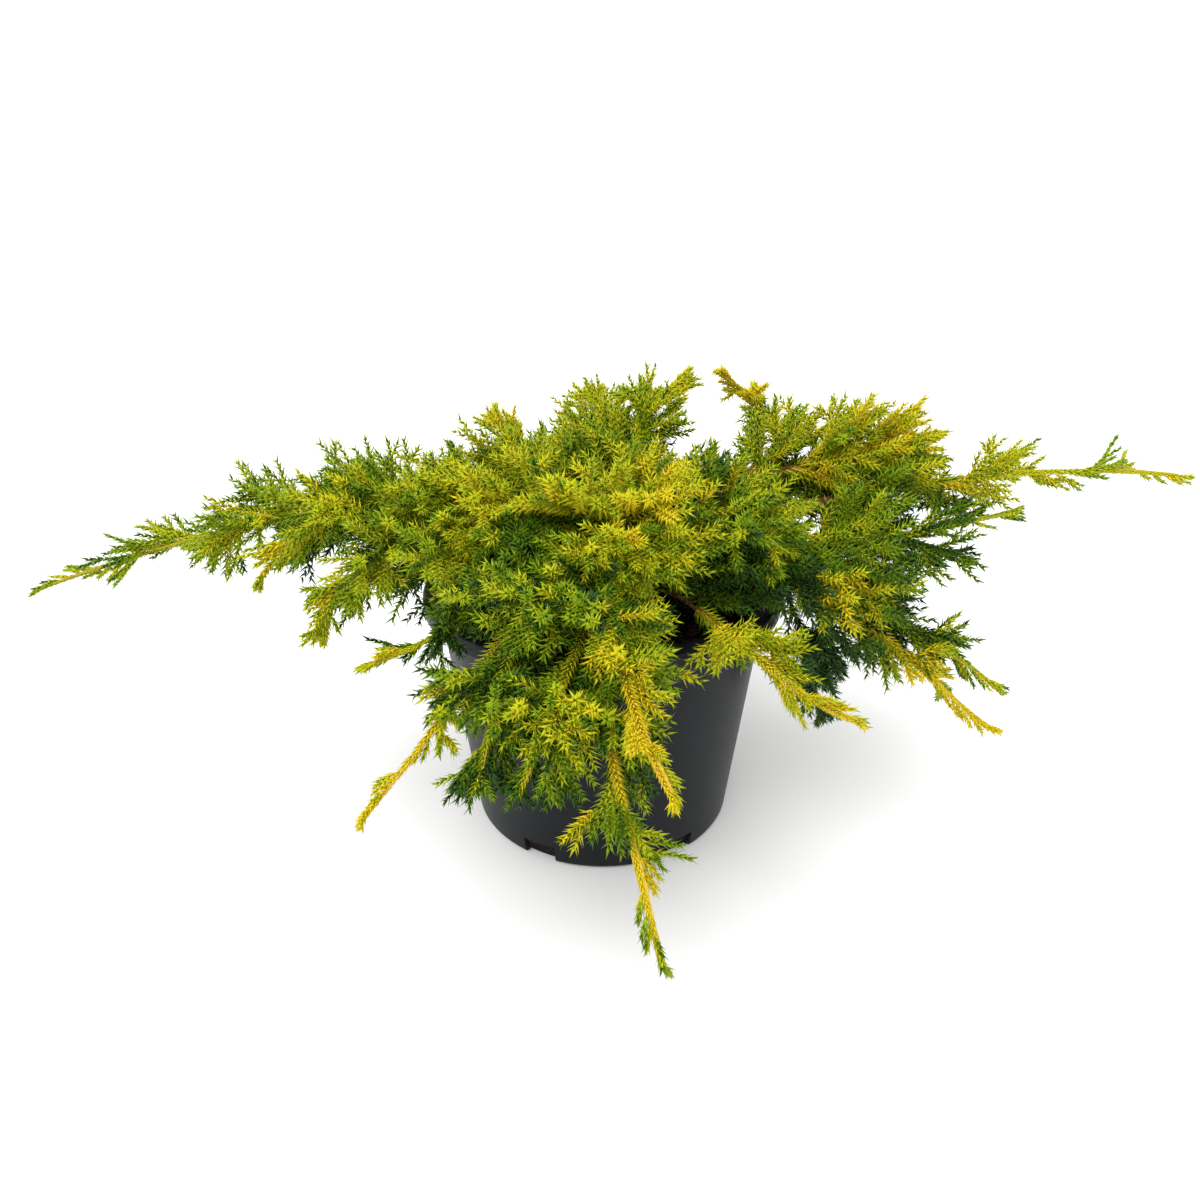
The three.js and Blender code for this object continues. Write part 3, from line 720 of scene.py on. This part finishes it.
def is_leader(limb):
    """Whether a bough ends in a long golden leader: its side shoots shorten early"""
    return limb["fade"] > 1


def side_shoots(limb):
    """The first order: their roots, ends and places along the limb"""
    j = np.arange(FINER * limb["sprays"])
    k = (j - 1) / FINER
    s = np.minimum((k + 0.5) / limb["sprays"], LAST_PLACE)
    u = limb["bare"] + (1 - limb["bare"]) * s
    root, along = point_at(limb, u), heading_at(limb, u)
    side, lift = across(along)
    jitter = np.where(j % FINER == 1, 0, ROLL_SPREAD * (chance(limb["seed"] + 9, j) - 0.5))
    roll = math.radians(GOLDEN_ANGLE) * k + limb["seed"] + jitter
    outer = smooth(s, *OUTER_PART) * is_leader(limb)
    lean = np.radians(LEAN_BASE + (LEAN_TIP - LEAN_BASE) * s + OUTER_LEAN * outer)
    outward = side * np.cos(roll)[:, None] + lift * (np.sin(roll) * FLATNESS)[:, None]
    heading = leaning(along, outward, lean)
    start = FOOT_LENGTH + (1 - FOOT_LENGTH) * np.minimum(1, s / FOOT_SHARE)
    length = ((TUFT + limb["width"] * start * (1 - s) ** limb["fade"])
              * (1 + LENGTH_SPREAD * (chance(limb["seed"] + 1, k + 0.5) - 0.5))
              * (1 - SIDE_LENGTH * (1 - np.abs(np.cos(roll)))) * (1 + OUTER_LENGTH * outer))
    length = np.minimum(length, (1 - u) * limb["length"] + PAST_TIP)
    tilt = FAN_TILT * (chance(limb["seed"] + 3, j) - 0.5)
    kept = np.zeros(len(j))
    for share in SHARES:
        fits = np.ones(len(j), bool)
        for part in PROBES:
            fits &= is_free(root + heading * (length * share * part)[:, None], limb)
        kept = np.where((kept == 0) & fits, share, kept)
    grown = (kept > 0) & (chance(limb["seed"] + 7, j) > OUTER_OPEN * outer)
    return dict(
        root=root[grown], heading=heading[grown], bend=FORWARD * along[grown] + RISE * UP,
        length=(length * kept)[grown], radius=THINNER * radius_at(limb, u)[grown],
        place=s[grown], limb=np.full(grown.sum(), limb["seed"]),
        fan=(lift + tilt[:, None] * side)[grown], luck=(chance(limb["seed"] + 65, j) - 0.5)[grown])


def inner_shoots(limb):
    """Short shoots on the bough itself, which keep the heart of the shrub dark and full"""
    count = int(limb["bare"] * limb["length"] / INNER_STEP)
    k = np.arange(count)
    u = limb["bare"] * (INNER_FROM + (1 - INNER_FROM) * (k + 0.5) / count)
    root, along = point_at(limb, u), heading_at(limb, u)
    side, lift = across(along)
    roll = math.radians(GOLDEN_ANGLE) * k + 2 * limb["seed"]
    lean = np.radians(INNER_LEAN + INNER_LEAN_SPREAD * (chance(limb["seed"] + 4, k) - 0.5))
    outward = side * np.cos(roll)[:, None] + lift * np.sin(roll)[:, None]
    heading = leaning(along, outward, lean)
    length = between(INNER_LENGTH, chance(limb["seed"] + 6, k))
    length = length * np.where(np.hypot(*root.T[:2]) < HEART, 1, PAST_HEART)
    grown = clear_of_pot(root + heading * length[:, None])
    for other in limbs:
        if other is not limb:
            far = distance_to(root + heading * length[:, None], other, 0, other["bare"])
            grown &= far > other["thick"] + ROOM
    return dict(
        root=root[grown], heading=heading[grown], bend=INNER_BEND * (along[grown] + UP),
        length=length[grown], radius=INNER_THINNER * radius_at(limb, u)[grown],
        place=np.zeros(grown.sum()), limb=np.full(grown.sum(), limb["seed"]), fan=lift[grown],
        luck=np.zeros(grown.sum()))


def along_shoot(shoots, owner, t):
    """Points at the share t of their owners, and the headings there"""
    heading, bend = shoots["heading"][owner], shoots["bend"][owner]
    length = shoots["length"][owner]
    point = shoots["root"][owner] + length[:, None] * (heading * t[:, None] + bend * (t**2)[:, None])
    return point, unit(heading + 2 * bend * t[:, None])


def dealt(counts):
    """An owner for each of as many things as the counts say, and its number with that owner"""
    owner = np.repeat(np.arange(len(counts)), counts)
    return owner, np.arange(len(owner)) - np.repeat(np.cumsum(counts) - counts, counts)


def fine_shoots(parents, step, share, least, most, order):
    """The next order, in two rows along each parent, in the plane of its fan"""
    room = parents["length"] - FINE_END * step
    counts = np.maximum(0, np.floor(room / step)).astype(int)
    owner, n = dealt(counts)
    jitter = FINE_JITTER * (chance(order, owner + 0.37 * n) - 0.5)
    t = (n + FINE_START + jitter) / (counts[owner] + FINE_END)
    root, along = along_shoot(parents, owner, t)
    fan = parents["fan"][owner]
    normal = unit(fan - along * np.sum(fan * along, 1)[:, None])
    side = np.cross(along, normal) * np.where(n % 2, 1, -1)[:, None]
    roll = FINE_ROLL * (chance(order + 0.5, owner * 0.71 + n) - FINE_ROLL_MIDDLE)
    spread = FINE_LEAN_SPREAD * (chance(order + 0.8, owner + 0.9 * n) - 0.5)
    outward = side * np.cos(roll)[:, None] + normal * np.sin(roll)[:, None]
    heading = leaning(along, outward, np.radians(between(FINE_LEAN, t) + spread))
    length = np.minimum(most, least + share * parents["length"][owner] * (1 - t) ** FINE_FADE)
    length = length * between(FINE_SPREAD, chance(order + 0.2, owner + 0.53 * n))
    luck = chance(order + 0.4, owner + 0.61 * n) - 0.5
    found = dict(
        root=root, heading=heading, bend=FINE_FORWARD * along, length=length,
        radius=FINE_THINNER * parents["radius"][owner], place=parents["place"][owner],
        limb=parents["limb"][owner], fan=normal,
        luck=LUCK_KEPT * parents["luck"][owner] + LUCK_NEW * luck)
    return picked(found, clear_of_pot(root + heading * length[:, None]) & clear_of_pot(root))


def picked(shoots, chosen):
    return {key: value[chosen] for key, value in shoots.items()}


def stacked(groups):
    return {key: np.concatenate([group[key] for group in groups]) for key in groups[0]}


first = stacked([side_shoots(limb) for limb in limbs] + [inner_shoots(limb) for limb in limbs])
second = fine_shoots(first, FAN_STEP, FAN_SHARE, FAN_LEAST, FAN_MOST, 31)
third = fine_shoots(second, TUFT_STEP, TUFT_SHARE, TUFT_LEAST, TUFT_MOST, 47)

# A shoot is the more golden the nearer it is to its bough's tip, the higher it stands and the
# less foliage lies over it. Low leaders keep their gold. The darker, greener tones of low shoots
# and of shoots under other foliage are partly the plant's own colour out of the sun and partly
# painted shade.
CELL = 15                        # of the map of the foliage's upper side
CELLS = 80
PLAIN_GOLD = 0.1
TIP_GOLD = 0.16
TIP_GOLD_PART = (0, 0.7)
HIGH_GOLD = 0.34
HIGH_PART = (95, 180)
HIGH_EVEN = 0.7                  # where height neither adds gold nor takes it
LEADER_PART = (0.35, 0.75)
# Partly painted shade: the warmth that shoots under other foliage lose, which darkens their colour
SHADE = 0.55
SHADE_DEPTH = (4, 42)            # how far under it the sun's gold begins and ends to fade, with painted shade
LUCK = 0.5                       # how far like shoots differ in warmth
ORDER_SHADES = (0.0, 0.08, 0.15)

glow = np.array([limb["glow"] for limb in limbs])
leads = np.array([is_leader(limb) for limb in limbs])


def cell_of(points):
    return tuple((np.floor(points[:, :2] / CELL).astype(int) + CELLS // 2).T)


crown = np.concatenate([shoots["root"] for shoots in (first, second, third)])
highest = np.zeros((CELLS, CELLS))
np.maximum.at(highest, cell_of(crown), crown[:, 2])

for shoots, order_shade in zip((first, second, third), ORDER_SHADES):
    height = shoots["root"][:, 2]
    lost_gold_and_painted_shade = SHADE * smooth(highest[cell_of(shoots["root"])] - height, *SHADE_DEPTH)
    by_place = TIP_GOLD * smooth(shoots["place"], *TIP_GOLD_PART) + PLAIN_GOLD
    by_height = HIGH_GOLD * (smooth(height, *HIGH_PART) - HIGH_EVEN)
    by_height *= 1 - smooth(shoots["place"], *LEADER_PART) * leads[shoots["limb"]]
    shoots["warmth"] = (glow[shoots["limb"]] + by_place + by_height + LUCK * shoots["luck"]
                        - order_shade - lost_gold_and_painted_shade)

TWIG_END = 0.92                  # of a shoot's length, and its needles hide the rest
TWIG_LEAST = 0.22
TWIG_TAPER = 0.75
TWIG_STEPS = ((4, 4), (3, 2), (3, 1))
LEADER_RING = 7                  # mm between its rings
LEADER_SIDES = 6
LEADER_SHORT = 3                 # mm under its needles' tip
YOUNG_BARK = (0.62, 0.4, 0.04)
YOUNG_CREVICE = (0.4, 0.2, 0.03)
YOUNG_EDGE = (0.7, 0.55, 0.06)
GOLDEN_BARK = (0.62, 0.48, 0.03)
GREEN_BARK = (0.3, 0.36, 0.015)
# Partly painted shade: a darker copy of the green bark, for the twigs of the least warmth
SHADED_BARK = (0.07, 0.1, 0.012)


def cones(shoots, sides, steps):
    """Slim tapering twigs along the shoots, as points and quads"""
    count = len(shoots["length"])
    points = []
    for part in np.linspace(0, TWIG_END, steps + 1):
        centre, along = along_shoot(shoots, np.arange(count), np.full(count, part))
        side, lift = across(along)
        radius = np.maximum(TWIG_LEAST, shoots["radius"] * (1 - TWIG_TAPER * part))[:, None]
        for n in range(sides):
            turn = math.tau * n / sides
            points.append(centre + radius * (side * math.cos(turn) + lift * math.sin(turn)))
    points = np.stack(points, 1).reshape(-1, 3)
    ring = np.arange(sides)
    quads = np.concatenate([
        np.stack([k * sides + ring, k * sides + (ring + 1) % sides,
                  (k + 1) * sides + (ring + 1) % sides, (k + 1) * sides + ring], 1)
        for k in range(steps)])
    total = (steps + 1) * sides
    return points, (quads[None] + total * np.arange(count)[:, None, None]).reshape(-1, 4)


leader_bm = bmesh.new()
for limb in limbs:
    rings = max(FEWEST_RINGS, int(limb["length"] / LEADER_RING))
    u = np.linspace(old_wood(limb), 1 - LEADER_SHORT / limb["length"], rings)
    add_rod(leader_bm, point_at(limb, u), leader_radius(limb, u), LEADER_SIDES)
bmesh.ops.recalc_face_normals(leader_bm, faces=leader_bm.faces)
soften(leader_bm, 60)
young_bark = new_material("young_bark", YOUNG_BARK, 0.7, 0.2)
young_grain = add_grain(young_bark, 500, 0.0003, 4)
tint(young_bark, young_grain, [(0.3, YOUNG_CREVICE), (0.55, YOUNG_BARK), (0.8, YOUNG_EDGE)])
leaders = new_object("leader_twigs", mesh_from(leader_bm, "leader_twigs"), young_bark)
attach(leaders, "root")

# Each kind of twig, with the least and the most warmth of the shoots that it is for
TWIGS = [
    ("golden_twigs", new_material("golden_bark", GOLDEN_BARK, 0.65, 0.15), "golden_foliage", 0.6, 9),
    ("green_twigs", new_material("green_bark", GREEN_BARK, 0.65, 0.15), "green_foliage", 0.34, 0.6),
    ("shaded_twigs", new_material("shaded_bark", SHADED_BARK, 0.7, 0.1), "green_foliage", -9, 0.34),
]
for name, material, slot, least, most in TWIGS:
    points, quads, count = [], [], 0
    for shoots, (sides, steps) in zip((first, second, third), TWIG_STEPS):
        warm = (shoots["warmth"] >= least) & (shoots["warmth"] < most)
        more_points, more_quads = cones(picked(shoots, warm), sides, steps)
        points.append(more_points)
        quads.append(more_quads + count)
        count += len(more_points)
    twigs = joined(name, np.concatenate(points) * MM, np.concatenate(quads), material)
    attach(twigs, "root")


# Needles
# Sharp little leaves in whorls of three, each whorl turned half a step from the last. They stand
# out on old shoots and lie close at growing tips, gold in the sun and blue-green in the shade, where
# their darker shades are partly painted shade.
NEEDLE_STEP = (1.3, 1.75)        # these pairs are for a growing tip and for an open shoot
NEEDLE_LENGTH = (4, 6.6)
NEEDLE_LEAN = (17, 54)
NEEDLE_WIDTH = (1.8, 1.5)
NEEDLE_WIDEST = 0.2              # of its length from its foot
NEEDLE_KEEL = 0.3                # the depth of its keel, as a share of its width
NEEDLE_HOOK = 0.1                # how far its point curves up, as a share of its length
NEEDLE_SPREAD = (0.8, 1.15)
LEAN_SPREAD = 10
TURN_SPREAD = 0.3
TONE_SPREAD = 0.08
BARE_FOOT = 0.12                 # of a shoot
FEWEST_WHORLS = 2
TIP_CLOSING = 0.3                # needles close up and shorten towards a shoot's tip
TIP_SHORTENING = 0.15
TONE_MIDDLE = 0.4                # where along a shoot its needles have its own warmth
OPEN_PART = (0.3, 0.85)          # of a bough, over which its shoots close up
TIP_OPEN, LEADER_TIP_OPEN = 0.6, 0.4
AXIS_PART = (0.25, 0.8)          # over which the leader itself closes up
AXIS_OPEN, LEADER_AXIS_OPEN = 0.5, 0.25
AXIS_TONE = (-0.15, 0.35)
AXIS_TONE_PART = (0.1, 0.6)
AXIS_SHORTENING = 0.25
AXIS_SHORT_PART = (0.5, 0.95)
AXIS_STAND = 0.8                 # where needles stand on the leader, of its radius
AXIS_AROUND = 5

# Each shade of foliage, and the least warmth that a needle needs to have it. The first four are
# green foliage and the others golden.
SHADES = [
    ("frost", (0.046, 0.112, 0.026), -9),
    ("deep", (0.032, 0.090, 0.008), -0.08),
    ("green", (0.085, 0.180, 0.007), 0.1),
    ("leaf", (0.190, 0.310, 0.008), 0.28),
    ("lime", (0.310, 0.430, 0.010), 0.41),
    ("spring", (0.430, 0.520, 0.011), 0.53),
    ("yellow", (0.600, 0.610, 0.012), 0.66),
    ("gold", (0.820, 0.660, 0.015), 0.90),
]


def needles_on(shoots, order, cooling):
    """Whorls all along the shoots, cooler in tone towards their ends"""
    tip_open = np.where(leads[shoots["limb"]], LEADER_TIP_OPEN, TIP_OPEN)
    openness = 1 - (1 - tip_open) * smooth(shoots["place"], *OPEN_PART)
    clothed = shoots["length"] * (1 - BARE_FOOT)
    counts = np.round(clothed / between(NEEDLE_STEP, openness))
    counts = np.maximum(FEWEST_WHORLS, counts).astype(int)
    owner, n = dealt(counts)
    t = BARE_FOOT + (1 - BARE_FOOT) * (n + 0.5) / counts[owner]
    centre, along = along_shoot(shoots, owner, t)
    return whorls(centre, along, owner, n, openness[owner] * (1 - TIP_CLOSING * t**3),
                  shoots["warmth"][owner] + cooling * (TONE_MIDDLE - t), order,
                  1 - TIP_SHORTENING * t**4)


def needles_along(limb, order):
    """Whorls on the leader itself, more golden and closer set towards its tip"""
    u = np.arange(old_wood(limb), 1, NEEDLE_STEP[0] / limb["length"])
    s = (u - limb["bare"]) / (1 - limb["bare"])
    least = LEADER_AXIS_OPEN if is_leader(limb) else AXIS_OPEN
    return whorls(point_at(limb, u), heading_at(limb, u), np.full(len(u), limb["seed"]),
                  np.arange(len(u)), 1 - (1 - least) * smooth(s, *AXIS_PART),
                  limb["glow"] + AXIS_TONE[0] + AXIS_TONE[1] * smooth(s, *AXIS_TONE_PART), order,
                  1 - AXIS_SHORTENING * smooth(s, *AXIS_SHORT_PART),
                  AXIS_STAND * leader_radius(limb, u), AXIS_AROUND)


def whorls(centre, along, owner, n, openness, warmth, order, size, stand=0, around=3):
    side, lift = across(along)
    found = []
    for m in range(around):
        code = owner * 3.1 + n * 0.77 + m * 0.31
        turn = (math.tau * m / around + n * math.pi / around
                + TURN_SPREAD * (chance(order, code) - 0.5))
        lean = np.radians(between(NEEDLE_LEAN, openness)
                          + LEAN_SPREAD * (chance(order + 1, code) - 0.5))
        out = side * np.cos(turn)[:, None] + lift * np.sin(turn)[:, None]
        found.append(dict(
            base=centre + out * np.reshape(stand, (-1, 1)), along=along,
            heading=along * np.cos(lean)[:, None] + out * np.sin(lean)[:, None],
            length=(between(NEEDLE_LENGTH, openness) * size
                    * between(NEEDLE_SPREAD, chance(order + 2, code))),
            width=size * between(NEEDLE_WIDTH, openness),
            tone=warmth + TONE_SPREAD * (chance(order + 3, code) - 0.5)))
    return stacked(found)


needles = stacked([
    needles_on(first, 61, 0.4), needles_on(second, 67, 0.3), needles_on(third, 71, 0.2),
    *[needles_along(limb, 83) for limb in limbs]])

heading, along = needles["heading"], needles["along"]
length, width = needles["length"][:, None], needles["width"][:, None]
upper = unit(along - heading * np.sum(along * heading, 1)[:, None])
broad = np.cross(heading, upper) * width / 2
widest = needles["base"] + heading * (NEEDLE_WIDEST * length) + upper * (NEEDLE_KEEL * width)
point = needles["base"] + (heading + NEEDLE_HOOK * upper) * length
corners = np.stack([needles["base"], widest + broad, widest - broad, point], 1)
needle_faces = np.array([[0, 3, 1], [0, 2, 3], [1, 3, 2], [1, 2, 0]])

shade_of = np.digitize(needles["tone"], [least for _, _, least in SHADES[1:]])
for k, (name, colour, _) in enumerate(SHADES):
    chosen = corners[shade_of == k]
    faces = needle_faces[None] + 4 * np.arange(len(chosen))[:, None, None]
    piece = joined(f"needles_{name}", chosen.reshape(-1, 3) * MM, faces.reshape(-1, 3),
                   new_material(f"needle_{name}", colour, 0.6, 0.12))
    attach(piece, "root")
    if name == "leaf":
        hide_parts(*[limb["name"] + "_foliage" for limb in limbs])
